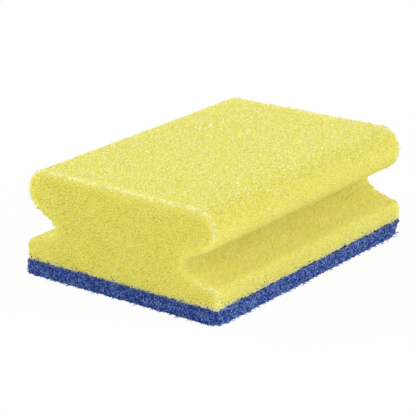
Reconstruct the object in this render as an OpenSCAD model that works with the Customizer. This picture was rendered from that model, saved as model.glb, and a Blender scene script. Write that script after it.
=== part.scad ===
// Cleaning sponge with a finger grip: a foam block cut to a waisted section, laminated
// on a thick non-woven scouring pad. Both are cut to length together, so they share one outline.
//
// Frame: the scouring face lies on z = 0 and +Z points up through the foam. The grooves and
// the length run along Y, the width runs along X, and the origin is the centre of the footprint.

/* [Overall] */
// Length of the sponge, along the grip grooves
sponge_l = 95; // [60:0.5:150]
// Width across the skirt, at right angles to the grooves
sponge_w = 68.4; // [56:0.2:110]
// Height of the foam block above the scouring pad
foam_h = 28.3; // [22:0.1:44]

/* [Grip bulge] */
// How far the widest line of the grip stays inside the skirt, on each side
bulge_inset = 0.8; // [0:0.1:5]
// Radius of the grip's rounded edge
bulge_r = 6.4; // [3:0.1:9]

/* [Finger groove] */
// Depth of each groove, from the side of the skirt in to its root
groove_depth = 11.6; // [7:0.1:16]
// Height of the groove's deepest line above the pad
groove_z = 11; // [9.5:0.1:13]
// Radius at the root of the groove, under the grip
root_r = 2.7; // [1.5:0.1:3.5]
// Radius of the long hollow from the root down to the skirt
hollow_r = 25; // [14:0.5:60]

/* [Skirt] */
// Height of the skirt's top edge above the pad
skirt_h = 6; // [4:0.1:7.2]
// Radius along the skirt's top edge
skirt_r = 1; // [0.4:0.1:2]

/* [Scouring pad] */
// Thickness of the scouring pad
pad_t = 4.7; // [2.5:0.1:10]
// Radius worn on the lower edge of the pad by its loose fibres
pad_edge_r = 1.2; // [0.3:0.1:2.2]
// Radius on the pad's upright corners
pad_corner_r = 1; // [0.3:0.1:4]

/* [Hidden] */
$fn = 96;
// How far a cut runs past the face it leaves by
past = 1;
// How far neighbouring arcs and straight runs of the section run into each other
lap = 0.02;
foam_yellow = [0.87, 0.84, 0.37];
pad_blue = [0.19, 0.29, 0.57];

half_w = sponge_w / 2;
// The grip's edge is no fuller than the foam over the groove can hold
grip_r = min(bulge_r, (foam_h - groove_z - root_r) / 2);

// Points of the right half of the section are [x, height above the pad]
grip_c = [half_w - bulge_inset - grip_r, foam_h - grip_r];
root_c = [half_w - groove_depth + root_r, groove_z];
skirt_c = [half_w - skirt_r, skirt_h - skirt_r];
hollow_c = circle_centre(root_c, hollow_r - root_r + lap, skirt_c, hollow_r + skirt_r - lap);

// The flank under the grip is the straight line that touches the grip and the root
flank_a = crossing_tangent(grip_c, grip_r - lap, root_c, root_r - lap);
grip_end = grip_c + (grip_r - lap) * unit(flank_a);
root_start = root_c - (root_r - lap) * unit(flank_a);

// The hollow is an arc that runs on from the root and meets the skirt's edge smoothly
root_end = root_c + (root_r - lap) * unit(heading(root_c - hollow_c));
skirt_start = skirt_c + (skirt_r - lap) * unit(heading(hollow_c - skirt_c));
hollow_run = unit(heading(skirt_start - root_end));
hollow_down = [hollow_run[1], -hollow_run[0]];
hollow_stop = skirt_start + skirt_r / 2 * hollow_run;

function unit(a) = [cos(a), sin(a)];
function heading(v) = atan2(v[1], v[0]);
function mirrored(points) = [for (i = [len(points) - 1:-1:0]) [-points[i][0], points[i][1]]];

// Angle at c1 of the point where the line that crosses between two circles touches the first
function crossing_tangent(c1, r1, c2, r2) = heading(c2 - c1) + acos((r1 + r2) / norm(c2 - c1));

// Centre of the circle that is d1 from p1 and d2 from p2, to the left of the way from p1 to p2
function circle_centre(p1, d1, p2, d2) =
    let (span = norm(p2 - p1),
         along = (d1 * d1 - d2 * d2 + span * span) / (2 * span),
         aside = sqrt(d1 * d1 - along * along),
         u = (p2 - p1) / span)
    p1 + along * u + aside * [-u[1], u[0]];

module both_sides() {
    children();
    mirror([1, 0, 0]) children();
}

// Stands a section drawn on [x, z] upright and runs it along Y, centred
module run_along_y(length) {
    translate([0, length / 2, 0]) rotate([90, 0, 0]) linear_extrude(length) children();
}

// Round bar along Y, centred on a point of the section
module round_bar(centre, r, length) {
    run_along_y(length) translate(centre) circle(r = r);
}

// Foam section without its full arcs: straight runs, the roots and the hollows
module section_core() {
    right = [
        [grip_c[0], foam_h], grip_c, grip_end, root_start, root_end,
        skirt_start, skirt_c, [half_w, skirt_c[1]], [half_w, 0],
    ];
    difference() {
        polygon(concat(right, mirrored(right)));
        both_sides() translate(root_c) circle(r = root_r);
        both_sides()
            intersection() {
                translate(hollow_c) circle(r = hollow_r);
                // Band that crosses the hollow's chord and runs from the root to the skirt's edge
                polygon([
                    root_end - past * hollow_down, root_end + hollow_r * hollow_down,
                    hollow_stop + hollow_r * hollow_down, hollow_stop - past * hollow_down,
                ]);
            }
    }
}

// Foam block, cut to its section by a blade along the grooves, with flat cut ends
module foam_body() {
    color(foam_yellow)
        translate([0, 0, pad_t]) {
            run_along_y(sponge_l) section_core();
            both_sides() round_bar(grip_c, grip_r, sponge_l);
            both_sides() round_bar(skirt_c, skirt_r, sponge_l);
        }
}

// What is cut away to round an edge that runs along Y, with the pad's solid at its -X +Z side
module edge_cut(r, length) {
    difference() {
        translate([-r, -length / 2, -past]) cube([r + past, length, r + past]);
        round_bar([-r, r], r, length + 2 * past);
    }
}

// Non-woven scouring pad, bonded face to face under the foam
module scouring_pad() {
    edge_r = min(pad_edge_r, pad_t - past);
    color(pad_blue)
        difference() {
            translate([-half_w, -sponge_l / 2, 0]) cube([sponge_w, sponge_l, pad_t]);
            both_sides() translate([half_w, 0, 0]) edge_cut(edge_r, sponge_l + 2 * past);
            for (end = [-90, 90])
                rotate([0, 0, end])
                    translate([sponge_l / 2, 0, 0]) edge_cut(edge_r, sponge_w + 2 * past);
            for (end = [-1, 1])
                both_sides()
                    translate([half_w, end * sponge_l / 2, pad_t / 2])
                        rotate([end * 90, 0, 0]) edge_cut(pad_corner_r, pad_t + 2 * past);
        }
}

foam_body();
scouring_pad();
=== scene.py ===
import bpy
import bmesh
import math
import numpy as np
from mathutils import Matrix, Vector
from mathutils.geometry import delaunay_2d_cdt


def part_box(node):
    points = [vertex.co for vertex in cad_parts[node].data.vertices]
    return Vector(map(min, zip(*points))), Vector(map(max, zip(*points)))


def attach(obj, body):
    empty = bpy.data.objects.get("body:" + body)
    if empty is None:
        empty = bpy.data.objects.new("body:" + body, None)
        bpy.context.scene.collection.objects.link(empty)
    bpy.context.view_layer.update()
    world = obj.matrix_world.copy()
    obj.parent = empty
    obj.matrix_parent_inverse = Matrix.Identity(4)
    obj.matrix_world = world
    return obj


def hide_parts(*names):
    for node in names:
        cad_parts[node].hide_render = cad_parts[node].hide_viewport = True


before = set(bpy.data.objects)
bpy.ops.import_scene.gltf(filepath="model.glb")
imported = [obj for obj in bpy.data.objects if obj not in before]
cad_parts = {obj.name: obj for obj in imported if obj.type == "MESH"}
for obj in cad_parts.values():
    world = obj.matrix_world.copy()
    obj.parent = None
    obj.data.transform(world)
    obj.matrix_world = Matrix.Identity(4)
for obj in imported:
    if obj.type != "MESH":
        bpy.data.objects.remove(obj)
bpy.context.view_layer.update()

MM = 0.001


# Foam block
# The gripping half: a bar of soft open-cell polyurethane foam, cut along Y to its waisted section
# by a profiled blade and sawn to length. Its whole underside is bonded to the scouring pad.

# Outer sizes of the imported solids, in millimetres
foam_low, foam_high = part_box("foam_body")
SPONGE_WIDTH, SPONGE_LENGTH, FOAM_HEIGHT = [
    round((high - low) / MM, 2) for low, high in zip(foam_low, foam_high)]
PAD_THICKNESS = round(foam_low[2] / MM, 2)
BULGE_INSET = 0.8
BULGE_RADIUS = 6.4
GROOVE_DEPTH = 11.6
GROOVE_HEIGHT = 11.0
ROOT_RADIUS = 2.7
HOLLOW_RADIUS = 25.0
SKIRT_HEIGHT = 6.0
# The skirt's corner is frayed, so it looks rounder than the solid's
SKIRT_RADIUS = 2.2
# The blade wandered a little: the left groove is shallower and higher, over a higher skirt, and
# the grip twists by this many degrees to the far end
LEFT_GROOVE_SHORT = 1.5
LEFT_GROOVE_HIGH = 0.3
LEFT_SKIRT_HIGH = 0.7
FAR_END_TWIST = 1.0
# The hot glue draws the foam's edge this far down into the felt of the pad
GLUE_SINK = 0.55
# Real cells are about 0.5 mm across, too fine for the render, so they are drawn coarser
CELL_SPACING = 0.86
CELL_DEPTH = 0.3
# How far the struts between the cells end below or above the cut, and the cut's own waviness
STRUT_LOW = -0.05
STRUT_HIGH = 0.2
CUT_WAVINESS = 0.3
# Where the pad hides the skin, its points are this far apart, in this many columns and rows
HIDDEN_SPACING = 3.2
HIDDEN_COLUMNS = 12
HIDDEN_ROWS = 30
ARC_STEP = 0.25


def turned(centre, radius, start, stop):
    """Points of an arc from one angle to another, in degrees, about ARC_STEP apart."""
    count = max(3, int(abs(math.radians(stop - start)) * radius / ARC_STEP))
    angles = np.radians(np.linspace(start, stop, count))
    return [centre + radius * np.array([math.cos(a), math.sin(a)]) for a in angles]


def heading(v):
    """Direction of a vector of the section, in degrees."""
    return math.degrees(math.atan2(v[1], v[0]))


def half_section(groove_depth, groove_height, skirt_height):
    """One side of the foam's section, as [x, height], from the middle of its underside up."""
    half = SPONGE_WIDTH / 2
    grip = np.array([half - BULGE_INSET - BULGE_RADIUS, FOAM_HEIGHT - BULGE_RADIUS])
    root = np.array([half - groove_depth + ROOT_RADIUS, groove_height])
    skirt = np.array([half - SKIRT_RADIUS, skirt_height - SKIRT_RADIUS])
    # The hollow's circle touches the root from outside and the skirt's corner from inside
    to_root = HOLLOW_RADIUS - ROOT_RADIUS
    to_skirt = HOLLOW_RADIUS + SKIRT_RADIUS
    span = np.linalg.norm(skirt - root)
    along = (to_root ** 2 - to_skirt ** 2 + span ** 2) / (2 * span)
    aside = math.sqrt(to_root ** 2 - along ** 2)
    way = (skirt - root) / span
    hollow = root + along * way + aside * np.array([-way[1], way[0]])
    # The flank is the straight line that crosses between the grip's and the root's circles
    gap = np.linalg.norm(root - grip)
    flank = heading(root - grip) + math.degrees(math.acos((BULGE_RADIUS + ROOT_RADIUS) / gap))
    line = [np.array([0.0, -GLUE_SINK]), np.array([half, -GLUE_SINK])]
    line += turned(skirt, SKIRT_RADIUS, 0, heading(hollow - skirt))
    hollow_turn = [heading(skirt - hollow) % 360, heading(root - hollow) % 360]
    line += turned(hollow, HOLLOW_RADIUS, *hollow_turn)[1:]
    line += turned(root, ROOT_RADIUS, hollow_turn[1], flank + 180)[1:]
    line += turned(grip, BULGE_RADIUS, flank, 90)
    return np.array(line) + np.array([0, PAD_THICKNESS])


def foam_section():
    """Closed outline of the foam's section, from the middle of its underside and back."""
    right = half_section(GROOVE_DEPTH, GROOVE_HEIGHT, SKIRT_HEIGHT)
    left = half_section(GROOVE_DEPTH - LEFT_GROOVE_SHORT, GROOVE_HEIGHT + LEFT_GROOVE_HIGH,
                        SKIRT_HEIGHT + LEFT_SKIRT_HIGH)
    return np.vstack([right, left[:0:-1] * [-1, 1]])


def scattered(low, high, spacing, rng):
    """Points of a honeycomb between two corners, each moved at random by up to half a spacing."""
    # Rows of a honeycomb lie closer together than the points in a row
    rows = np.arange(low[1], high[1], spacing * 0.866)
    row, column = np.meshgrid(np.arange(len(rows)), np.arange(low[0], high[0], spacing))
    points = np.stack([column + (row % 2) * spacing / 2, rows[row]], -1).reshape(-1, 2)
    return points + rng.uniform(-0.48, 0.48, points.shape) * spacing


def distance_to(points, outline):
    """Distance from each point to a closed outline, less than zero inside it."""
    best = np.full(len(points), np.inf)
    inside = np.zeros(len(points), bool)
    for p, q in zip(outline, np.roll(outline, -1, 0)):
        edge = q - p
        t = np.clip((points - p) @ edge / max(edge @ edge, 1e-12), 0, 1)
        best = np.minimum(best, np.linalg.norm(points - p - t[:, None] * edge, axis=1))
        above = (p[1] > points[:, 1]) != (q[1] > points[:, 1])
        if p[1] != q[1]:
            cross = points[:, 0] < edge[0] * (points[:, 1] - p[1]) / edge[1] + p[0]
            inside ^= above & cross
    return np.where(inside, -best, best)


def triangles(points, rim=0):
    """Delaunay triangles of flat points. With a rim, its first points are the outline to fill."""
    faces = [list(range(rim))] if rim else []
    coords, _, found, _, _, _ = delaunay_2d_cdt(
        [Vector(p) for p in points], [], faces, 1 if rim else 0, 1e-7)
    return np.array([tuple(p) for p in coords]), np.array(found)


def foam_surface():
    """The block's skin as triangles whose corners are the middles of the foam's cells."""
    rng = np.random.default_rng(11)
    half_length = SPONGE_LENGTH / 2
    section = foam_section()
    steps = np.linalg.norm(np.diff(np.vstack([section, section[:1]]), axis=0), axis=1)
    run = np.concatenate([[0], np.cumsum(steps)])
    closed = np.vstack([section, section[:1]])
    girth = run[-1]
    seam = SPONGE_WIDTH / 2

    def on_section(s):
        return np.stack([np.interp(s, run, closed[:, i]) for i in (0, 1)], -1)

    # Along the outline the cells are even, and wide apart only where the pad covers them
    count = int(round((girth - 2 * seam) / CELL_SPACING))
    shown = np.linspace(seam, girth - seam, count + 1)
    hidden = np.linspace(0, seam, HIDDEN_COLUMNS)
    around = np.concatenate([hidden[:-1], shown, girth - hidden[::-1][1:]])
    # Developed skin, laid flat: girth along the first axis, length along the second
    body = scattered((seam, -half_length), (girth - seam, half_length), CELL_SPACING, rng)
    body = body[np.abs(body[:, 1]) < half_length - 0.5 * CELL_SPACING]
    body = body[(body[:, 0] > seam) & (body[:, 0] < girth - seam)]
    # A few on the underside, clear of its edges and of the line where the skin's two sides join
    under = scattered((3, -half_length), (seam - 1.2, half_length), HIDDEN_SPACING, rng)
    under = under[(np.abs(under[:, 1]) < half_length - 1.5) & (under[:, 0] < seam - 1)]
    rows = np.linspace(-half_length, half_length, HIDDEN_ROWS)
    join = np.stack([np.zeros(HIDDEN_ROWS), rows], -1)
    ends = [np.stack([around, np.full(len(around), y)], -1) for y in (-half_length, half_length)]
    flat = np.vstack([
        join, join + [girth, 0], ends[0][1:], ends[1][1:], body, under, [girth, 0] - under])
    flat, skin = triangles(flat)
    place = on_section(flat[:, 0])
    points = [np.stack([place[:, 0], flat[:, 1], place[:, 1]], -1)]
    faces = [skin]
    edge_gap = [half_length - np.abs(flat[:, 1])]
    cut_end = [np.zeros(len(flat))]

    # Sawn ends
    outline = on_section(around[:-1])
    inner = scattered(section.min(0), section.max(0), CELL_SPACING, rng)
    inner = inner[distance_to(inner, section) < -0.5 * CELL_SPACING]
    for y in (-half_length, half_length):
        jitter = rng.uniform(-0.1, 0.1, inner.shape) * CELL_SPACING
        whole, cap = triangles(np.vstack([outline, inner + jitter]), len(outline))
        points.append(np.stack([whole[:, 0], np.full(len(whole), y), whole[:, 1]], -1))
        faces.append(cap + sum(len(p) for p in points[:-1]))
        edge_gap.append(np.abs(distance_to(whole, section)))
        cut_end.append(np.ones(len(whole)))
    points = np.vstack(points)
    # The twist grows from the near end, and from the widest line of the grip to its top
    along = (points[:, 1] + half_length) / SPONGE_LENGTH
    up = np.clip((points[:, 2] - PAD_THICKNESS - FOAM_HEIGHT) / BULGE_RADIUS + 1, 0, 1)
    twist = math.radians(FAR_END_TWIST) * along * up
    points[:, 2] += points[:, 0] * twist
    return points, np.vstack(faces), np.concatenate(edge_gap), np.concatenate(cut_end)


def shell(name, points, faces, attributes):
    """A closed mesh object from points in millimetres, with its doubles merged and faces outward."""
    mesh = bpy.data.meshes.new(name)
    mesh.from_pydata((points * MM).tolist(), [], faces.tolist())
    for key, values in attributes.items():
        layer = mesh.attributes.new(key, "FLOAT", "POINT")
        layer.data.foreach_set("value", values.astype(np.float32))
    work = bmesh.new()
    work.from_mesh(mesh)
    bmesh.ops.remove_doubles(work, verts=work.verts, dist=0.004 * MM)
    bmesh.ops.recalc_face_normals(work, faces=work.faces)
    work.to_mesh(mesh)
    work.free()
    piece = bpy.data.objects.new(name, mesh)
    bpy.context.scene.collection.objects.link(piece)
    return piece


def linear(colour):
    """An sRGB hex colour as the linear RGBA that the shaders take."""
    parts = [int(colour[i:i + 2], 16) / 255 for i in (1, 3, 5)]
    return [c / 12.92 if c <= 0.04045 else ((c + 0.055) / 1.055) ** 2.4 for c in parts] + [1.0]


def add(tree, kind, inputs=None, **settings):
    """Adds a node with its settings, and links or sets its inputs by name or number."""
    node = tree.nodes.new(kind)
    for name, value in settings.items():
        setattr(node, name, value)
    for socket, value in (inputs or {}).items():
        if isinstance(value, bpy.types.NodeSocket):
            tree.links.new(value, node.inputs[socket])
        elif isinstance(value, str) and value.startswith("#"):
            node.inputs[socket].default_value = linear(value)
        else:
            node.inputs[socket].default_value = value
    return node


def new_shape(name, sizes):
    """A Geometry Nodes tree with a geometry in and out and the named inputs, and its input node."""
    tree = bpy.data.node_groups.new(name, "GeometryNodeTree")
    tree.interface.new_socket("Geometry", in_out="INPUT", socket_type="NodeSocketGeometry")
    tree.interface.new_socket("Geometry", in_out="OUTPUT", socket_type="NodeSocketGeometry")
    for label, kind in sizes.items():
        tree.interface.new_socket(label, in_out="INPUT", socket_type="NodeSocket" + kind)
    return tree, add(tree, "NodeGroupInput").outputs


def shaped(piece, tree, values):
    """Runs a Geometry Nodes tree on a piece with named values, and keeps the result as its mesh."""
    modifier = piece.modifiers.new(tree.name, "NODES")
    modifier.node_group = tree
    for item in tree.interface.items_tree:
        if item.in_out == "INPUT" and item.name in values:
            modifier[item.identifier] = values[item.name]
    bpy.context.view_layer.update()
    seen = piece.evaluated_get(bpy.context.evaluated_depsgraph_get())
    mesh = bpy.data.meshes.new_from_object(seen)
    piece.modifiers.remove(modifier)
    piece.data = mesh


def open_cells():
    """Turns every corner of the skin into a cell: the dual faces, each drawn in to a pit."""
    tree, given = new_shape("Open foam cells", {
        "Depth": "Float", "Rim low": "Float", "Rim high": "Float", "Cut waviness": "Float",
        "Seed": "Int", "Foam": "Material"})
    # The soft bar gives under the blade, which leaves swells about 20 mm long
    swell = add(tree, "ShaderNodeTexNoise", {"Scale": 1 / (20 * MM), "Detail": 1.0})
    centred = add(tree, "ShaderNodeMath", {0: swell.outputs["Fac"], 1: 0.5}, operation="SUBTRACT")
    height = add(tree, "ShaderNodeMath", {0: centred.outputs[0], 1: given["Cut waviness"]},
                 operation="MULTIPLY")
    way = add(tree, "GeometryNodeInputNormal")
    push = add(tree, "ShaderNodeVectorMath", {0: way.outputs[0], "Scale": height.outputs[0]},
               operation="SCALE")
    wavy = add(tree, "GeometryNodeSetPosition", {
        "Geometry": given["Geometry"], "Offset": push.outputs[0]})
    cells = add(tree, "GeometryNodeDualMesh", {0: wavy.outputs[0]})
    # Some cells are cut low and others high, so the pits are a quarter to one and a half deep
    deep = add(tree, "FunctionNodeRandomValue", {
        2: 0.25, 3: 1.5, "Seed": given["Seed"]}, data_type="FLOAT")
    inward = add(tree, "ShaderNodeMath", {0: given["Depth"], 1: deep.outputs[1]},
                 operation="MULTIPLY")
    down = add(tree, "ShaderNodeMath", {0: inward.outputs[0], 1: -1.0}, operation="MULTIPLY")
    pits = add(tree, "GeometryNodeExtrudeMesh", {
        "Mesh": cells.outputs[0], "Offset Scale": down.outputs[0], "Individual": True},
        mode="FACES")
    points = add(tree, "GeometryNodeScaleElements", {
        "Geometry": pits.outputs["Mesh"], "Selection": pits.outputs["Top"], "Scale": 0.0},
        domain="FACE")
    # Each pit's bottom is one point, marked for the material
    marked = add(tree, "GeometryNodeStoreNamedAttribute", {
        "Geometry": points.outputs[0], "Name": "pit", "Value": 0.0},
        data_type="FLOAT", domain="POINT")
    marked_low = add(tree, "GeometryNodeStoreNamedAttribute", {
        "Geometry": marked.outputs[0], "Selection": pits.outputs["Top"], "Name": "pit",
        "Value": 1.0}, data_type="FLOAT", domain="POINT")
    joined = add(tree, "GeometryNodeMergeByDistance", {
        "Geometry": marked_low.outputs[0], "Distance": 0.002 * MM})
    # The struts between the pits end at uneven heights
    lift = add(tree, "FunctionNodeRandomValue", {
        2: given["Rim low"], 3: given["Rim high"], "Seed": given["Seed"]}, data_type="FLOAT")
    normal = add(tree, "GeometryNodeInputNormal")
    shift = add(tree, "ShaderNodeVectorMath", {0: normal.outputs[0], "Scale": lift.outputs[1]},
                operation="SCALE")
    uneven = add(tree, "GeometryNodeSetPosition", {
        "Geometry": joined.outputs[0], "Offset": shift.outputs[0]})
    # Each facet gets a number from 0 to 1, by which the material lets some glint
    facet = add(tree, "FunctionNodeRandomValue", {
        2: 0.0, 3: 1.0, "Seed": given["Seed"]}, data_type="FLOAT")
    glinting = add(tree, "GeometryNodeStoreNamedAttribute", {
        "Geometry": uneven.outputs[0], "Name": "facet", "Value": facet.outputs[1]},
        data_type="FLOAT", domain="FACE")
    real = add(tree, "GeometryNodeRealizeInstances", {0: glinting.outputs[0]})
    coated = add(tree, "GeometryNodeSetMaterial", {
        "Geometry": real.outputs[0], "Material": given["Foam"]})
    add(tree, "NodeGroupOutput", {0: coated.outputs[0]})
    return tree


def foam_material():
    """Open-cell polyurethane foam: matt, fine grained, and a little light passes through it.
    Cut cell skins catch the light as painted pale glints, and painted shade turns the pits
    between the struts olive."""
    material = bpy.data.materials.new("open_cell_polyurethane_foam")
    material.use_nodes = True
    tree = material.node_tree
    tree.nodes.clear()
    place = add(tree, "ShaderNodeTexCoord").outputs["Object"]
    pit = add(tree, "ShaderNodeAttribute", attribute_name="pit").outputs["Fac"]
    facet = add(tree, "ShaderNodeAttribute", attribute_name="facet").outputs["Fac"]
    cut_end = add(tree, "ShaderNodeAttribute", attribute_name="cut_end").outputs["Fac"]
    edge_gap = add(tree, "ShaderNodeAttribute", attribute_name="edge_gap").outputs["Fac"]
    axes = add(tree, "ShaderNodeSeparateXYZ", {0: place}).outputs
    side = axes["X"]
    height = axes["Z"]
    # Heights of the flat top, the groove's root and the skirt's top edge, and half the width
    top = PAD_THICKNESS + FOAM_HEIGHT
    root = PAD_THICKNESS + GROOVE_HEIGHT
    skirt = PAD_THICKNESS + SKIRT_HEIGHT
    half = SPONGE_WIDTH / 2
    # The flat top, which has the most pale skins and painted sheen, is more strongly coloured
    # between them
    on_top = add(tree, "ShaderNodeMapRange", {
        0: height, 1: (top - 2.4) * MM, 2: (top - 0.2) * MM}).outputs[0]
    base = add(tree, "ShaderNodeMix", {
        0: on_top, 6: "#EBE472", 7: "#EBE45E"}, data_type="RGBA").outputs[2]
    base = add(tree, "ShaderNodeMix", {
        0: cut_end, 6: base, 7: "#EAE36E"}, data_type="RGBA").outputs[2]
    # Little light from above reaches the grip's underside, so its yellow is the deepest
    skin_only = add(tree, "ShaderNodeMath", {0: 1.0, 1: cut_end}, operation="SUBTRACT").outputs[0]
    to_groove = add(tree, "ShaderNodeMapRange", {
        0: height, 1: (root + 8.8) * MM, 2: (root + 5.8) * MM, 3: 0.0, 4: 0.8}).outputs[0]
    past_groove = add(tree, "ShaderNodeMapRange", {
        0: height, 1: (root + 3.8) * MM, 2: (root + 5.3) * MM}).outputs[0]
    under = add(tree, "ShaderNodeMath", {0: to_groove, 1: past_groove}, operation="MULTIPLY").outputs[0]
    under = add(tree, "ShaderNodeMath", {0: under, 1: skin_only}, operation="MULTIPLY").outputs[0]
    base = add(tree, "ShaderNodeMix", {
        0: under, 6: base, 7: "#E1D94C"}, data_type="RGBA").outputs[2]
    # In the groove, light goes from wall to wall and deepens the yellow, so the foam is paler
    in_groove = add(tree, "ShaderNodeMapRange", {
        0: height, 1: (root + 5.8) * MM, 2: (root + 4.3) * MM}).outputs[0]
    in_groove = add(tree, "ShaderNodeMath", {0: in_groove, 1: skin_only},
                    operation="MULTIPLY").outputs[0]
    base = add(tree, "ShaderNodeMix", {
        0: in_groove, 6: base, 7: "#EBE47A"}, data_type="RGBA").outputs[2]
    # Struts and pits, with painted shade that turns the pits olive towards their bottoms.
    # The sawn ends look deeper in some patches of 5 to 6 mm than in others
    patch = add(tree, "ShaderNodeTexNoise", {
        "Vector": place, "Scale": 0.18 / MM, "Detail": 1.0}).outputs["Fac"]
    patchy = add(tree, "ShaderNodeMapRange", {0: patch, 1: 0.35, 2: 0.65, 3: 0.4, 4: 0.62}).outputs[0]
    deep = add(tree, "ShaderNodeMapRange", {0: on_top, 3: 0.35, 4: 0.8}).outputs[0]
    deepest = add(tree, "ShaderNodeMix", {0: cut_end, 2: deep, 3: patchy}).outputs[0]
    pit_shade = add(tree, "ShaderNodeMapRange", {
        0: pit, 1: 0.25, 2: 1.0, 3: 0.0, 4: deepest}).outputs[0]
    base = add(tree, "ShaderNodeMix", {
        0: pit_shade, 6: base, 7: "#C4BA44"}, data_type="RGBA").outputs[2]
    # Struts and gaps too fine for the mesh, three to a millimetre, with painted shade in the gaps
    fine = add(tree, "ShaderNodeTexNoise", {
        "Vector": place, "Scale": 3.0 / MM, "Detail": 1.0}).outputs["Fac"]
    most = add(tree, "ShaderNodeMapRange", {0: on_top, 3: 0.55, 4: 0.85}).outputs[0]
    fine_share = add(tree, "ShaderNodeMapRange", {
        0: fine, 1: 0.48, 2: 0.62, 3: 0.0, 4: most}).outputs[0]
    base = add(tree, "ShaderNodeMix", {
        0: fine_share, 6: base, 7: "#C8BE4C"}, data_type="RGBA").outputs[2]
    # Thin cell skins between them are paler, most of all on the flat top, where they are
    # also painted sheen from the light above
    thin = add(tree, "ShaderNodeMapRange", {0: fine, 1: 0.45, 2: 0.32, 3: 0.0, 4: 0.8}).outputs[0]
    top_sheen = add(tree, "ShaderNodeMapRange", {0: on_top, 3: 0.25, 4: 1.0}).outputs[0]
    top_sheen = add(tree, "ShaderNodeMath", {0: top_sheen, 1: skin_only}, operation="MULTIPLY").outputs[0]
    thin = add(tree, "ShaderNodeMath", {0: thin, 1: top_sheen}, operation="MULTIPLY").outputs[0]
    base = add(tree, "ShaderNodeMix", {
        0: thin, 6: base, 7: "#F7F3BC"}, data_type="RGBA").outputs[2]
    # Denser and thinner foam, in clouds of about 12 mm
    cloud = add(tree, "ShaderNodeTexNoise", {
        "Vector": place, "Scale": 0.085 / MM, "Detail": 2.0}).outputs["Fac"]
    cloud_share = add(tree, "ShaderNodeMapRange", {
        0: cloud, 1: 0.35, 2: 0.65, 3: 0.0, 4: 0.16}).outputs[0]
    base = add(tree, "ShaderNodeMix", {
        0: cloud_share, 6: base, 7: "#DCD35C"}, data_type="RGBA").outputs[2]
    # The hollow turns paler towards its lip, where the foam is thin and light comes through it
    to_lip = add(tree, "ShaderNodeMapRange", {
        0: height, 1: (root + 0.3) * MM, 2: (root - 4.7) * MM, 3: 0.0, 4: 0.25}).outputs[0]
    past_lip = add(tree, "ShaderNodeMapRange", {
        0: height, 1: (skirt - 1.7) * MM, 2: (skirt - 0.3) * MM}).outputs[0]
    lip = add(tree, "ShaderNodeMath", {0: to_lip, 1: past_lip}, operation="MULTIPLY").outputs[0]
    lip = add(tree, "ShaderNodeMath", {0: lip, 1: skin_only}, operation="MULTIPLY").outputs[0]
    base = add(tree, "ShaderNodeMix", {
        0: lip, 6: base, 7: "#F4EC78"}, data_type="RGBA").outputs[2]
    # Some cells of the sawn ends are torn open, and painted shade inside them makes them dark
    most = add(tree, "ShaderNodeMapRange", {0: cut_end, 3: 0.0, 4: 0.10}).outputs[0]
    torn = add(tree, "ShaderNodeMath", {0: facet, 1: most}, operation="LESS_THAN").outputs[0]
    torn_shade = add(tree, "ShaderNodeMath", {0: torn, 1: 0.25}, operation="MULTIPLY").outputs[0]
    base = add(tree, "ShaderNodeMix", {
        0: torn_shade, 6: base, 7: "#A89E38"}, data_type="RGBA").outputs[2]
    # Cut skins that glint: one facet in eight on top, about one in a hundred elsewhere
    low_few = add(tree, "ShaderNodeMapRange", {
        0: height, 1: (top - 3) * MM, 2: (top - 0.2) * MM, 3: 0.992, 4: 0.88}).outputs[0]
    end_few = add(tree, "ShaderNodeMath", {0: cut_end, 1: 0.992}, operation="MULTIPLY").outputs[0]
    few = add(tree, "ShaderNodeMath", {0: low_few, 1: end_few}, operation="MAXIMUM").outputs[0]
    glint = add(tree, "ShaderNodeMath", {0: facet, 1: few}, operation="GREATER_THAN").outputs[0]
    sparkle = add(tree, "ShaderNodeMapRange", {0: fine, 1: 0.44, 2: 0.56, 3: 0.75, 4: 0.25}).outputs[0]
    glint_share = add(tree, "ShaderNodeMath", {0: glint, 1: sparkle}, operation="MULTIPLY").outputs[0]
    base = add(tree, "ShaderNodeMix", {
        0: glint_share, 6: base, 7: "#FDFBDA"}, data_type="RGBA").outputs[2]
    # Light comes through the foam for 4 mm inside each cut edge, but not where the pad is behind
    # it, and through the left of the grip, which stands against the light
    clear = add(tree, "ShaderNodeMapRange", {
        0: height, 1: (skirt - 3.7) * MM, 2: (skirt + 1.3) * MM, 3: 0.05, 4: 0.6}).outputs[0]
    brightest = add(tree, "ShaderNodeMix", {0: cut_end, 2: 0.35, 3: clear}).outputs[0]
    glow = add(tree, "ShaderNodeMapRange", {
        0: edge_gap, 1: 0.0, 2: 4.0, 3: brightest, 4: 0.0},
        interpolation_type="SMOOTHSTEP").outputs[0]
    to_left = add(tree, "ShaderNodeMapRange", {
        0: side, 1: (12.2 - half) * MM, 2: (2.2 - half) * MM, 3: 0.0, 4: 0.4}).outputs[0]
    to_left = add(tree, "ShaderNodeMath", {0: to_left, 1: cut_end}, operation="MULTIPLY").outputs[0]
    glow = add(tree, "ShaderNodeMath", {0: glow, 1: to_left}, operation="MAXIMUM").outputs[0]
    base = add(tree, "ShaderNodeMix", {
        0: glow, 6: base, 7: "#F2EB74"}, data_type="RGBA").outputs[2]
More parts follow.
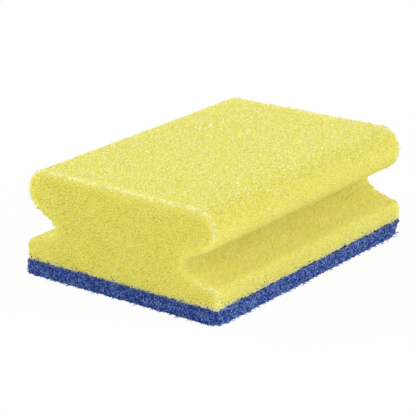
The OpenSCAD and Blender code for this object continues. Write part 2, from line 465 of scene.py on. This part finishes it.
    # Painted highlight along each cut edge, where its frayed ends catch the light: 1.4 mm wide,
    # broken up about every millimetre, and strongest on the grip and down the right-hand corners
    fray_highlight = add(tree, "ShaderNodeTexNoise", {
        "Vector": place, "Scale": 0.9 / MM, "Detail": 2.0}).outputs["Fac"]
    reach = add(tree, "ShaderNodeMapRange", {
        0: edge_gap, 1: 0.2, 2: 1.45, 3: 0.9, 4: 0.0}).outputs[0]
    broken = add(tree, "ShaderNodeMapRange", {
        0: fray_highlight, 1: 0.44, 2: 0.58, 3: 0.2, 4: 1.0}).outputs[0]
    rim = add(tree, "ShaderNodeMath", {0: reach, 1: broken}, operation="MULTIPLY").outputs[0]
    low = add(tree, "ShaderNodeMapRange", {
        0: height, 1: (skirt + 2.3) * MM, 2: (skirt - 0.2) * MM, 3: 0.15, 4: 0.85}).outputs[0]
    on_corner = add(tree, "ShaderNodeMapRange", {
        0: side, 1: (half - 10.2) * MM, 2: (half - 3.2) * MM, 3: 0.0, 4: low}).outputs[0]
    on_grip = add(tree, "ShaderNodeMapRange", {
        0: height, 1: (root + 6.3) * MM, 2: (root + 10.3) * MM, 3: 0.1, 4: 1.0}).outputs[0]
    strength = add(tree, "ShaderNodeMath", {0: on_corner, 1: on_grip}, operation="MAXIMUM").outputs[0]
    rim = add(tree, "ShaderNodeMath", {0: rim, 1: strength}, operation="MULTIPLY").outputs[0]
    base = add(tree, "ShaderNodeMix", {
        0: rim, 6: base, 7: "#FAF7BC"}, data_type="RGBA").outputs[2]
    # Painted light: a paler line just above the pad, which lifts the shade along the seam
    seam_light = add(tree, "ShaderNodeMapRange", {
        0: height, 1: PAD_THICKNESS * MM, 2: (PAD_THICKNESS + 0.9) * MM, 3: 0.8, 4: 0.0}).outputs[0]
    base = add(tree, "ShaderNodeMix", {
        0: seam_light, 6: base, 7: "#FFF8BC"}, data_type="RGBA").outputs[2]
    # Blue fibre dust rubbed into the foam for 6 mm above the pad. The real dust is finer, and its
    # specks are drawn 0.5 mm across so that they show
    dust_share = add(tree, "ShaderNodeMapRange", {
        0: height, 1: PAD_THICKNESS * MM, 2: (PAD_THICKNESS + 6.0) * MM, 3: 0.59, 4: 1.0}).outputs[0]
    dust = add(tree, "ShaderNodeTexNoise", {
        "Vector": place, "Scale": 2.2 / MM, "Detail": 1.0}).outputs["Fac"]
    speck = add(tree, "ShaderNodeMath", {0: dust, 1: dust_share}, operation="GREATER_THAN").outputs[0]
    base = add(tree, "ShaderNodeMix", {
        0: speck, 6: base, 7: "#4C5672"}, data_type="RGBA").outputs[2]
    # The finest cells, about 0.3 mm across, are relief alone
    grain = add(tree, "ShaderNodeTexNoise", {
        "Vector": place, "Scale": 3.2 / MM, "Detail": 2.0}).outputs["Fac"]
    relief = add(tree, "ShaderNodeBump", {
        "Strength": 0.5, "Distance": 0.12 * MM, "Height": grain}).outputs[0]
    skin = add(tree, "ShaderNodeBsdfPrincipled", {
        "Base Color": base, "Roughness": 0.92, "IOR": 1.45, "Specular IOR Level": 0.25,
        "Subsurface Weight": 0.7, "Subsurface Radius": (1.0, 0.9, 0.35),
        "Subsurface Scale": 2.5 * MM, "Normal": relief})
    add(tree, "ShaderNodeOutputMaterial", {0: skin.outputs[0]})
    return material


foam = foam_material()
points, faces, edge_gap, cut_end = foam_surface()
block = shell("foam_block", points, faces, {"edge_gap": edge_gap, "cut_end": cut_end})
shaped(block, open_cells(), {
    "Depth": CELL_DEPTH * MM, "Rim low": STRUT_LOW * MM, "Rim high": STRUT_HIGH * MM,
    "Cut waviness": CUT_WAVINESS * MM, "Seed": 3, "Foam": foam})
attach(block, "root")
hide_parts("foam_body")


# Scouring pad
# The working half: a firm felt of crimped nylon fibres held by resin, with no weave. It is bonded
# under the foam and cut with it. Its sides are fuzzy, and its far right corner is worn round.

# Once cut, the pad springs out this far past the foam
PAD_SPREAD = 0.35
# Its upright corners: the two on the left, the near one on the right, and the worn one
LEFT_CORNER_RADIUS = 1.0
NEAR_CORNER_RADIUS = 3.4
WORN_CORNER_RADIUS = 4.6
# Depth of the loose fibres on the scouring face, before the bonded core begins
FACE_DEPTH = 0.16
# Height of the lumps in the cut felt, and how far its edge swells up round the foot of the foam
FELT_LUMPS = 0.9
FELT_RIM = 0.45
# Points of its skin along X, Y and Z, about 0.8 mm apart and 0.5 mm in height
FELT_GRID = (88, 122, 9)


def fleece_material(name, dark, mid, pale, step):
    """Non-woven nylon fleece: dull fibres of uneven blue, with painted shade in the dark gaps
    between them, each step in millimetres apart. Real ones lie closer, and are drawn coarser so
    that they show."""
    material = bpy.data.materials.new(name)
    material.use_nodes = True
    tree = material.node_tree
    tree.nodes.clear()
    place = add(tree, "ShaderNodeTexCoord").outputs["Object"]
    shade = add(tree, "ShaderNodeAttribute", attribute_name="shade").outputs["Fac"]
    # Painted shade: where the noise is low, the dark gaps between the fibres
    patch = add(tree, "ShaderNodeTexNoise", {
        "Vector": place, "Scale": 1 / (step * MM), "Detail": 3.0}).outputs["Fac"]
    low = add(tree, "ShaderNodeMapRange", {0: patch, 1: 0.35, 2: 0.62}).outputs[0]
    base = add(tree, "ShaderNodeMix", {
        0: low, 6: dark, 7: mid}, data_type="RGBA").outputs[2]
    high = add(tree, "ShaderNodeMapRange", {0: shade, 1: 0.45, 2: 1.0}).outputs[0]
    base = add(tree, "ShaderNodeMix", {
        0: high, 6: base, 7: pale}, data_type="RGBA").outputs[2]
    # Ends that stand up in front of the foam catch the light
    place_axes = add(tree, "ShaderNodeSeparateXYZ", {0: place}).outputs
    proud = add(tree, "ShaderNodeMapRange", {
        0: place_axes["Z"], 1: (PAD_THICKNESS - 0.5) * MM, 2: (PAD_THICKNESS + 0.2) * MM,
        3: 0.0, 4: 0.3}).outputs[0]
    base = add(tree, "ShaderNodeMix", {
        0: proud, 6: base, 7: "#A9BEEA"}, data_type="RGBA").outputs[2]
    # On the cut ends the fibres are darker than on the sides, and darkest near the glue
    darkest = add(tree, "ShaderNodeMapRange", {
        0: place_axes["Z"], 1: (PAD_THICKNESS - 2.1) * MM, 2: (PAD_THICKNESS - 0.9) * MM,
        3: 0.2, 4: 0.36}).outputs[0]
    reach = add(tree, "ShaderNodeMath", {0: place_axes["Y"]}, operation="ABSOLUTE").outputs[0]
    half = SPONGE_LENGTH / 2
    tips = add(tree, "ShaderNodeMapRange", {
        0: reach, 1: (half - 0.6) * MM, 2: (half - 0.1) * MM, 3: 0.0, 4: darkest}).outputs[0]
    base = add(tree, "ShaderNodeMix", {
        0: tips, 6: base, 7: "#002A7F"}, data_type="RGBA").outputs[2]
    # Resin and abrasive grains on the fibres, about 0.4 mm across
    grain = add(tree, "ShaderNodeTexNoise", {
        "Vector": place, "Scale": 2.5 / MM, "Detail": 2.0}).outputs["Fac"]
    relief = add(tree, "ShaderNodeBump", {
        "Strength": 0.5, "Distance": 0.15 * MM, "Height": grain}).outputs[0]
    skin = add(tree, "ShaderNodeBsdfPrincipled", {
        "Base Color": base, "Roughness": 0.7, "IOR": 1.5, "Specular IOR Level": 0.3,
        "Normal": relief})
    add(tree, "ShaderNodeOutputMaterial", {0: skin.outputs[0]})
    return material


def felt_slab():
    """A slab with round upright corners and a lumpy skin, flat where it stands on the floor."""
    tree, given = new_shape("Felt slab", {
        "Size": "Vector", "Left corners": "Float", "Near corner": "Float", "Worn corner": "Float",
        "Lumps": "Float", "Rim": "Float", "Felt": "Material"})
    block = add(tree, "GeometryNodeMeshCube", {
        "Size": given["Size"], "Vertices X": FELT_GRID[0], "Vertices Y": FELT_GRID[1],
        "Vertices Z": FELT_GRID[2]})
    # In a corner, a square ring of points becomes a quarter circle of the same reach
    place = add(tree, "GeometryNodeInputPosition")
    axes = add(tree, "ShaderNodeSeparateXYZ", {0: place.outputs[0]})
    half = add(tree, "ShaderNodeVectorMath", {0: given["Size"], "Scale": 0.5}, operation="SCALE")
    depth = add(tree, "ShaderNodeSeparateXYZ", {0: half.outputs[0]})
    lowest = add(tree, "ShaderNodeMath", {0: depth.outputs[2], 1: -1.0}, operation="MULTIPLY")
    # The worn corner is cut back most at its foot
    wear = add(tree, "ShaderNodeMapRange", {
        0: axes.outputs[2], 1: lowest.outputs[0], 2: depth.outputs[2], 3: 1.3, 4: 0.45})
    worn = add(tree, "ShaderNodeMath", {0: given["Worn corner"], 1: wear.outputs[0]},
               operation="MULTIPLY")
    far = add(tree, "FunctionNodeCompare", {0: axes.outputs[1], 1: 0.0}, operation="GREATER_THAN")
    on_right = add(tree, "GeometryNodeSwitch", {
        0: far.outputs[0], 1: given["Near corner"], 2: worn.outputs[0]}, input_type="FLOAT")
    right = add(tree, "FunctionNodeCompare", {0: axes.outputs[0], 1: 0.0}, operation="GREATER_THAN")
    radius = add(tree, "GeometryNodeSwitch", {
        0: right.outputs[0], 1: given["Left corners"], 2: on_right.outputs[0]}, input_type="FLOAT")
    corner = add(tree, "ShaderNodeCombineXYZ", {0: radius.outputs[0], 1: radius.outputs[0]})
    core = add(tree, "ShaderNodeVectorMath", {
        0: half.outputs[0], 1: corner.outputs[0]}, operation="SUBTRACT")
    minus = add(tree, "ShaderNodeVectorMath", {0: core.outputs[0], "Scale": -1.0},
                operation="SCALE")
    capped = add(tree, "ShaderNodeVectorMath", {
        0: place.outputs[0], 1: core.outputs[0]}, operation="MINIMUM")
    inner = add(tree, "ShaderNodeVectorMath", {
        0: capped.outputs[0], 1: minus.outputs[0]}, operation="MAXIMUM")
    out = add(tree, "ShaderNodeVectorMath", {
        0: place.outputs[0], 1: inner.outputs[0]}, operation="SUBTRACT")
    size = add(tree, "ShaderNodeVectorMath", {0: out.outputs[0]}, operation="ABSOLUTE")
    sizes = add(tree, "ShaderNodeSeparateXYZ", {0: size.outputs[0]})
    ring = add(tree, "ShaderNodeMath", {0: sizes.outputs[0], 1: sizes.outputs[1]},
               operation="MAXIMUM")
    way = add(tree, "ShaderNodeVectorMath", {0: out.outputs[0]}, operation="NORMALIZE")
    reach = add(tree, "ShaderNodeVectorMath", {0: way.outputs[0], "Scale": ring.outputs[0]},
                operation="SCALE")
    spot = add(tree, "ShaderNodeVectorMath", {
        0: inner.outputs[0], 1: reach.outputs[0]}, operation="ADD")
    rounded = add(tree, "GeometryNodeSetPosition", {
        "Geometry": block.outputs[0], "Position": spot.outputs[0]})
    # The cut edge swells up round the foot of the foam
    nearly = add(tree, "ShaderNodeMath", {0: radius.outputs[0], 1: 0.95}, operation="MULTIPLY")
    outermost = add(tree, "ShaderNodeMath", {0: ring.outputs[0], 1: nearly.outputs[0]},
                    operation="GREATER_THAN")
    upper = add(tree, "ShaderNodeMath", {0: axes.outputs[2], 1: 0.0}, operation="GREATER_THAN")
    both = add(tree, "ShaderNodeMath", {0: outermost.outputs[0], 1: upper.outputs[0]},
               operation="MULTIPLY")
    swell = add(tree, "ShaderNodeMath", {0: both.outputs[0], 1: given["Rim"]},
                operation="MULTIPLY")
    # Lumps of the felt, a little over a millimetre across
    lump = add(tree, "ShaderNodeTexNoise", {"Scale": 0.9 / MM, "Detail": 2.0})
    centred = add(tree, "ShaderNodeMath", {0: lump.outputs["Fac"], 1: 0.5}, operation="SUBTRACT")
    amount = add(tree, "ShaderNodeMath", {
        0: centred.outputs[0], 1: given["Lumps"]}, operation="MULTIPLY")
    normal = add(tree, "GeometryNodeInputNormal")
    shift = add(tree, "ShaderNodeVectorMath", {
        0: normal.outputs[0], "Scale": amount.outputs[0]}, operation="SCALE")
    lumpy = add(tree, "ShaderNodeVectorMath", {
        0: place.outputs[0], 1: shift.outputs[0]}, operation="ADD")
    # Nothing goes below the floor
    floor = add(tree, "ShaderNodeCombineXYZ", {0: -1.0, 1: -1.0, 2: lowest.outputs[0]})
    held = add(tree, "ShaderNodeVectorMath", {
        0: lumpy.outputs[0], 1: floor.outputs[0]}, operation="MAXIMUM")
    rise = add(tree, "ShaderNodeCombineXYZ", {2: swell.outputs[0]})
    pressed = add(tree, "GeometryNodeSetPosition", {
        "Geometry": rounded.outputs[0], "Position": held.outputs[0], "Offset": rise.outputs[0]})
    real = add(tree, "GeometryNodeRealizeInstances", {0: pressed.outputs[0]})
    coated = add(tree, "GeometryNodeSetMaterial", {
        "Geometry": real.outputs[0], "Material": given["Felt"]})
    add(tree, "NodeGroupOutput", {0: coated.outputs[0]})
    return tree


felt = fleece_material("nylon_fleece_core", "#081E64", "#244DAB", "#3258B1", 0.35)
core = bpy.data.objects.new("pad_core", bpy.data.meshes.new("pad_core"))
bpy.context.scene.collection.objects.link(core)
core_height = PAD_THICKNESS - GLUE_SINK - FACE_DEPTH
core_size = [SPONGE_WIDTH + 2 * PAD_SPREAD, SPONGE_LENGTH + 2 * PAD_SPREAD, core_height]
shaped(core, felt_slab(), {
    "Size": [s * MM for s in core_size], "Left corners": LEFT_CORNER_RADIUS * MM,
    "Near corner": NEAR_CORNER_RADIUS * MM, "Worn corner": WORN_CORNER_RADIUS * MM,
    "Lumps": FELT_LUMPS * MM, "Rim": FELT_RIM * MM, "Felt": felt})
core.data.transform(Matrix.Translation((0, 0, (core_height / 2 + FACE_DEPTH) * MM)))
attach(core, "root")
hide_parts("scouring_pad")


# Pad fibres
# Crimped nylon fibres that make up the felt, those that show on its sides and its scouring face.
# Each is its own short curl, bonded where it crosses another, and some ends stand clear.

# Real fibres are 0.05 to 0.1 mm thick. They are drawn thicker, and fewer, so that they show
FIBRE_WIDTH = 0.22
FIBRE_LENGTH = 2.5


def crimped_fibres():
    """Scatters short fibres on the faces that point the right way, each bent by a 3-D noise."""
    tree, given = new_shape("Crimped fibres", {
        "Per square metre": "Float", "Thin out from": "Float", "Thin out to": "Float",
        "Facing from": "Float", "Facing to": "Float", "Length": "Float", "Width": "Float",
        "Points": "Int", "Way": "Vector", "Lean": "Float", "Crimp": "Float", "Crimp step": "Float",
        "Ragged": "Float", "Lowest": "Float", "Highest": "Float", "Seed": "Int",
        "Nylon": "Material"})
    normal = add(tree, "GeometryNodeInputNormal")
    upright = add(tree, "ShaderNodeSeparateXYZ", {0: normal.outputs[0]}).outputs["Z"]
    above = add(tree, "FunctionNodeCompare", {0: upright, 1: given["Facing from"]},
                operation="GREATER_EQUAL")
    below = add(tree, "FunctionNodeCompare", {0: upright, 1: given["Facing to"]},
                operation="LESS_EQUAL")
    where = add(tree, "FunctionNodeBooleanMath", {0: above.outputs[0], 1: below.outputs[0]},
                operation="AND")
    spot = add(tree, "GeometryNodeInputPosition")
    level = add(tree, "ShaderNodeSeparateXYZ", {0: spot.outputs[0]}).outputs["Z"]
    # They thin out along an uneven line, in tufts of about 0.8 mm
    tuft = add(tree, "ShaderNodeTexNoise", {"Scale": 1.3 / MM, "Detail": 1.0})
    centred = add(tree, "ShaderNodeMath", {0: tuft.outputs["Fac"], 1: 0.5}, operation="SUBTRACT")
    uneven = add(tree, "ShaderNodeMath", {
        0: centred.outputs[0], 1: given["Ragged"], 2: level}, operation="MULTIPLY_ADD")
    share = add(tree, "ShaderNodeMapRange", {
        0: uneven.outputs[0], 1: given["Thin out from"], 2: given["Thin out to"], 3: 1.0, 4: 0.0})
    density = add(tree, "ShaderNodeMath", {0: share.outputs[0], 1: given["Per square metre"]},
                  operation="MULTIPLY")
    spots = add(tree, "GeometryNodeDistributePointsOnFaces", {
        "Mesh": given["Geometry"], "Selection": where.outputs[0],
        "Density": density.outputs[0], "Seed": given["Seed"]})
    # One straight fibre, laid on each spot at its own turn, lean and size
    half = add(tree, "ShaderNodeMath", {0: given["Length"], 1: 0.5}, operation="MULTIPLY")
    start = add(tree, "ShaderNodeVectorMath", {0: given["Way"], "Scale": half.outputs[0]},
                operation="SCALE")
    back = add(tree, "ShaderNodeVectorMath", {0: start.outputs[0], "Scale": -1.0},
               operation="SCALE")
    line = add(tree, "GeometryNodeCurvePrimitiveLine", {
        "Start": back.outputs[0], "End": start.outputs[0]})
    strand = add(tree, "GeometryNodeResampleCurve", {
        "Curve": line.outputs[0], "Count": given["Points"]})
    other = add(tree, "ShaderNodeMath", {0: given["Lean"], 1: -1.0}, operation="MULTIPLY")
    least = add(tree, "ShaderNodeCombineXYZ", {0: other.outputs[0], 1: other.outputs[0]})
    most = add(tree, "ShaderNodeCombineXYZ", {0: given["Lean"], 1: given["Lean"], 2: math.tau})
    spin = add(tree, "FunctionNodeRandomValue", {
        0: least.outputs[0], 1: most.outputs[0], "Seed": given["Seed"]},
        data_type="FLOAT_VECTOR")
    turn = add(tree, "FunctionNodeEulerToRotation", {0: spin.outputs[0]})
    facing = add(tree, "FunctionNodeRotateRotation", {
        "Rotation": spots.outputs["Rotation"], "Rotate By": turn.outputs[0]},
        rotation_space="LOCAL")
    size = add(tree, "FunctionNodeRandomValue", {
        2: 0.4, 3: 1.5, "Seed": given["Seed"]}, data_type="FLOAT")
    placed = add(tree, "GeometryNodeInstanceOnPoints", {
        "Points": spots.outputs["Points"], "Instance": strand.outputs[0],
        "Rotation": facing.outputs[0], "Scale": size.outputs[1]})
    tint = add(tree, "FunctionNodeRandomValue", {
        2: 0.0, 3: 1.0, "Seed": given["Seed"]}, data_type="FLOAT")
    tinted = add(tree, "GeometryNodeStoreNamedAttribute", {
        "Geometry": placed.outputs[0], "Name": "shade", "Value": tint.outputs[1]},
        data_type="FLOAT", domain="INSTANCE")
    loose = add(tree, "GeometryNodeRealizeInstances", {0: tinted.outputs[0]})
    # The crimp bends each fibre at every step
    place = add(tree, "GeometryNodeInputPosition")
    step = add(tree, "ShaderNodeMath", {0: 1.0, 1: given["Crimp step"]}, operation="DIVIDE")
    wave = add(tree, "ShaderNodeTexNoise", {
        "Vector": place.outputs[0], "Scale": step.outputs[0], "Detail": 1.0})
    around = add(tree, "ShaderNodeVectorMath", {
        0: wave.outputs["Color"], 1: (0.5, 0.5, 0.5)}, operation="SUBTRACT")
    bend = add(tree, "ShaderNodeVectorMath", {
        0: around.outputs[0], "Scale": given["Crimp"]}, operation="SCALE")
    crimped = add(tree, "GeometryNodeSetPosition", {
        "Geometry": loose.outputs[0], "Offset": bend.outputs[0]})
    # Pressed flat against the surface that the sponge stands on
    now = add(tree, "GeometryNodeInputPosition")
    parts = add(tree, "ShaderNodeSeparateXYZ", {0: now.outputs[0]})
    held = add(tree, "ShaderNodeClamp", {
        "Value": parts.outputs["Z"], "Min": given["Lowest"], "Max": given["Highest"]})
    rest = add(tree, "ShaderNodeCombineXYZ", {
        0: parts.outputs["X"], 1: parts.outputs["Y"], 2: held.outputs[0]})
    settled = add(tree, "GeometryNodeSetPosition", {
        "Geometry": crimped.outputs[0], "Position": rest.outputs[0]})
    radius = add(tree, "ShaderNodeMath", {0: given["Width"], 1: 0.5}, operation="MULTIPLY")
    ring = add(tree, "GeometryNodeCurvePrimitiveCircle", {
        "Resolution": 3, "Radius": radius.outputs[0]})
    tubes = add(tree, "GeometryNodeCurveToMesh", {
        "Curve": settled.outputs[0], "Profile Curve": ring.outputs[0], "Fill Caps": True})
    real = add(tree, "GeometryNodeRealizeInstances", {0: tubes.outputs[0]})
    coated = add(tree, "GeometryNodeSetMaterial", {
        "Geometry": real.outputs[0], "Material": given["Nylon"]})
    add(tree, "NodeGroupOutput", {0: coated.outputs[0]})
    return tree


def seam_strip():
    """Upright band just outside the seam, 1.1 mm high, that carries the seam's tufts."""
    clear = 0.08
    x = SPONGE_WIDTH / 2 + clear
    y = SPONGE_LENGTH / 2 + clear
    corners = [(-x, -y), (x, -y), (x, y), (-x, y)]
    heights = [PAD_THICKNESS - 0.7, PAD_THICKNESS - 0.1, PAD_THICKNESS + 0.4]
    points = [(a * MM, b * MM, z * MM) for z in heights for a, b in corners]
    faces = [(i + j, i + (j + 1) % 4, i + 4 + (j + 1) % 4, i + 4 + j)
             for i in (0, 4) for j in range(4)]
    mesh = bpy.data.meshes.new("seam_strip")
    mesh.from_pydata(points, [], faces)
    return mesh


fibre_tree = crimped_fibres()
nylon = fleece_material("nylon_fleece_fibres", "#001050", "#2A5ABE", "#A0C0FF", 0.45)
# What holds unless a piece says otherwise. A height of 1.0 or more, a metre, is no limit
everywhere = {
    "Length": FIBRE_LENGTH * MM, "Width": FIBRE_WIDTH * MM, "Points": 5, "Way": (1, 0, 0),
    "Lean": 0.22, "Crimp": 1.7 * MM, "Crimp step": 1.1 * MM, "Ragged": 0.0,
    "Thin out from": 1.0, "Thin out to": 2.0, "Lowest": FIBRE_WIDTH / 2 * MM,
    "Highest": (PAD_THICKNESS - 0.15) * MM, "Nylon": nylon}
grown = {
    "pad_side_fibres": (core.data, {
        "Per square metre": 7.4e6, "Facing from": -0.72, "Facing to": 0.72, "Seed": 5,
        "Length": 1.0 * MM, "Points": 3, "Lean": 0.7, "Crimp": 1.2 * MM}),
    "pad_face_fibres": (core.data, {
        "Per square metre": 1.3e6, "Facing from": -1.0, "Facing to": -0.5, "Seed": 9,
        "Width": 0.25 * MM, "Points": 4, "Lowest": 0.125 * MM, "Highest": 0.3 * MM}),
    "pad_seam_fibres": (seam_strip(), {
        "Per square metre": 4.5e6, "Facing from": -1.0, "Facing to": 1.0, "Seed": 14,
        "Thin out from": (PAD_THICKNESS - 0.4) * MM, "Thin out to": (PAD_THICKNESS - 0.1) * MM,
        "Ragged": 3.0 * MM, "Length": 0.6 * MM, "Width": 0.3 * MM, "Points": 3,
        "Crimp": 0.4 * MM, "Crimp step": 0.6 * MM, "Highest": 1.0}),
    "pad_stray_fibres": (core.data, {
        "Per square metre": 1.7e6, "Facing from": -0.5, "Facing to": 0.72, "Seed": 31,
        "Thin out from": 0.2 * MM, "Thin out to": 2.0 * MM, "Ragged": 1.0 * MM,
        "Length": 2.2 * MM, "Width": 0.13 * MM, "Way": (0, 0, 1), "Lean": 0.9,
        "Crimp": 1.0 * MM}),
}
for name, (carrier, values) in grown.items():
    fibres = bpy.data.objects.new(name, carrier.copy())
    bpy.context.scene.collection.objects.link(fibres)
    shaped(fibres, fibre_tree, {**everywhere, **values})
    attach(fibres, "root")


# Foam struts
# Ends of cut cell struts, part of the polyurethane foam, that stand up all over its cut faces and
# closest along its edges. Real ones are finer than a hair, and are drawn thicker to show.

# Cut polyurethane ends, matt and paler than the foam, because light gets through such thin ones
struts = bpy.data.materials.new("polyurethane_cell_struts")
struts.use_nodes = True
tree = struts.node_tree
tree.nodes.clear()
shade = add(tree, "ShaderNodeAttribute", attribute_name="shade").outputs["Fac"]
base = add(tree, "ShaderNodeMix", {
    0: shade, 6: "#DAD25E", 7: "#F0EB9C"}, data_type="RGBA").outputs[2]
skin = add(tree, "ShaderNodeBsdfPrincipled", {
    "Base Color": base, "Roughness": 0.8, "IOR": 1.45})
add(tree, "ShaderNodeOutputMaterial", {0: skin.outputs[0]})


def part_of(mesh, test):
    """A copy of the foam's mesh with only the faces that pass a test of two of its attributes:
    the distance to the nearest cut edge in millimetres, and whether they are on a sawn end."""
    copy = mesh.copy()
    work = bmesh.new()
    work.from_mesh(copy)
    gap = work.faces.layers.float["edge_gap"]
    cut = work.faces.layers.float["cut_end"]
    others = [f for f in work.faces if not test(f[gap], f[cut])]
    bmesh.ops.delete(work, geom=others, context="FACES")
    work.to_mesh(copy)
    work.free()
    return copy


stubs = {
    "foam_struts": (lambda gap, cut: cut < 0.5, {
        "Per square metre": 3.4e5, "Length": 0.9 * MM, "Width": 0.11 * MM, "Seed": 21,
        "Thin out from": (PAD_THICKNESS + FOAM_HEIGHT) * MM,
        "Thin out to": (PAD_THICKNESS + FOAM_HEIGHT - 7) * MM}),
    "foam_edge_struts": (lambda gap, cut: gap < 0.9, {
        "Per square metre": 1.5e6, "Length": 1.4 * MM, "Width": 0.12 * MM, "Seed": 22}),
}
for name, (test, values) in stubs.items():
    tips = bpy.data.objects.new(name, part_of(block.data, test))
    bpy.context.scene.collection.objects.link(tips)
    shaped(tips, fibre_tree, {
        **everywhere, "Facing from": -0.99, "Facing to": 1.0, "Points": 3, "Way": (0, 0, 1),
        "Lean": 0.6, "Crimp": 0.4 * MM, "Crimp step": 0.5 * MM, "Lowest": PAD_THICKNESS * MM,
        "Highest": 1.0, "Nylon": struts, **values})
    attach(tips, "root")


# Floor
# Matt white studio paper, laid flat under the sponge. It shows white to the camera and keeps a
# faint contact shadow.

# Half its side, in metres
FLOOR_REACH = 3.0
# Share of its look that is plain white, and not lit
FLOOR_WHITE = 0.94
floor_mesh = bpy.data.meshes.new("floor")
floor_mesh.from_pydata(
    [(x * FLOOR_REACH, y * FLOOR_REACH, 0) for x, y in ((-1, -1), (1, -1), (1, 1), (-1, 1))],
    [], [(0, 1, 2, 3)])
floor = bpy.data.objects.new("floor", floor_mesh)
bpy.context.scene.collection.objects.link(floor)
paper = bpy.data.materials.new("white_studio_paper")
paper.use_nodes = True
tree = paper.node_tree
tree.nodes.clear()
rays = add(tree, "ShaderNodeLightPath").outputs
seen = add(tree, "ShaderNodeMath", {0: rays["Is Camera Ray"], 1: rays["Is Glossy Ray"]},
           operation="ADD")
seen = add(tree, "ShaderNodeMath", {0: seen.outputs[0], 1: rays["Is Transmission Ray"]},
           operation="ADD", use_clamp=True)
share = add(tree, "ShaderNodeMath", {0: seen.outputs[0], 1: FLOOR_WHITE}, operation="MULTIPLY")
matt = add(tree, "ShaderNodeBsdfDiffuse", {"Color": linear("#FAFAFA")})
glow = add(tree, "ShaderNodeEmission", {"Color": (1, 1, 1, 1), "Strength": 1.0})
blend = add(tree, "ShaderNodeMixShader", {
    0: share.outputs[0], 1: matt.outputs[0], 2: glow.outputs[0]})
add(tree, "ShaderNodeOutputMaterial", {0: blend.outputs[0]})
floor_mesh.materials.append(paper)


# Light and camera
# An even white sky that shows as plain white, and four broad soft lamps, the strongest from the
# left. The camera stands where the photo's did.

SKY_LIGHT = 0.48
# Width of each lamp as the sponge sees it, in degrees
LAMP_SPREAD = 50
world = bpy.data.worlds.new("studio")
bpy.context.scene.world = world
world.use_nodes = True
tree = world.node_tree
tree.nodes.clear()
rays = add(tree, "ShaderNodeLightPath").outputs
level = add(tree, "ShaderNodeMapRange", {0: rays["Is Camera Ray"], 3: SKY_LIGHT, 4: 1.0})
sky = add(tree, "ShaderNodeBackground", {"Color": (1, 1, 1, 1), "Strength": level.outputs[0]})
add(tree, "ShaderNodeOutputWorld", {0: sky.outputs[0]})

# Strength of each lamp, and the way to it
lamps = {
    "lamp_right": (0.125, (0.8, -0.15, 0.6)),
    "lamp_left": (0.5, (-0.75, -0.2, 0.6)),
    "lamp_front": (0.137, (0.27, -0.85, 0.38)),
    "lamp_back": (0.328, (0.7, 0.5, 0.5)),
}
for name, (share, way) in lamps.items():
    lamp_data = bpy.data.lights.new(name, "SUN")
    lamp_data.energy = share * math.pi
    lamp_data.angle = math.radians(LAMP_SPREAD)
    lamp = bpy.data.objects.new(name, lamp_data)
    lamp.rotation_euler = Vector(way).to_track_quat("Z", "Y").to_euler()
    bpy.context.scene.collection.objects.link(lamp)

# Fitted to the sponge's edges in the photo, with the sponge at its real size
AIM = Vector((-1.565, -3.391, 14.885)) * MM
CAMERA_DISTANCE = 635.76
CAMERA_AZIMUTH = 36.4034
CAMERA_ELEVATION = 19.3912
CAMERA_ROLL = 0.2709
LENS = 184.477
SENSOR_WIDTH = 36
camera_data = bpy.data.cameras.new("camera")
camera_data.sensor_width = SENSOR_WIDTH
camera_data.lens = LENS
camera_data.clip_end = 20
camera = bpy.data.objects.new("camera", camera_data)
turn = (Matrix.Rotation(math.radians(CAMERA_AZIMUTH), 4, "Z")
        @ Matrix.Rotation(math.radians(90 - CAMERA_ELEVATION), 4, "X")
        @ Matrix.Rotation(math.radians(CAMERA_ROLL), 4, "Z"))
back_off = Matrix.Translation((0, 0, CAMERA_DISTANCE * MM))
camera.matrix_world = Matrix.Translation(AIM) @ turn @ back_off
bpy.context.scene.collection.objects.link(camera)
bpy.context.scene.camera = camera

bpy.context.scene.view_settings.view_transform = "Standard"
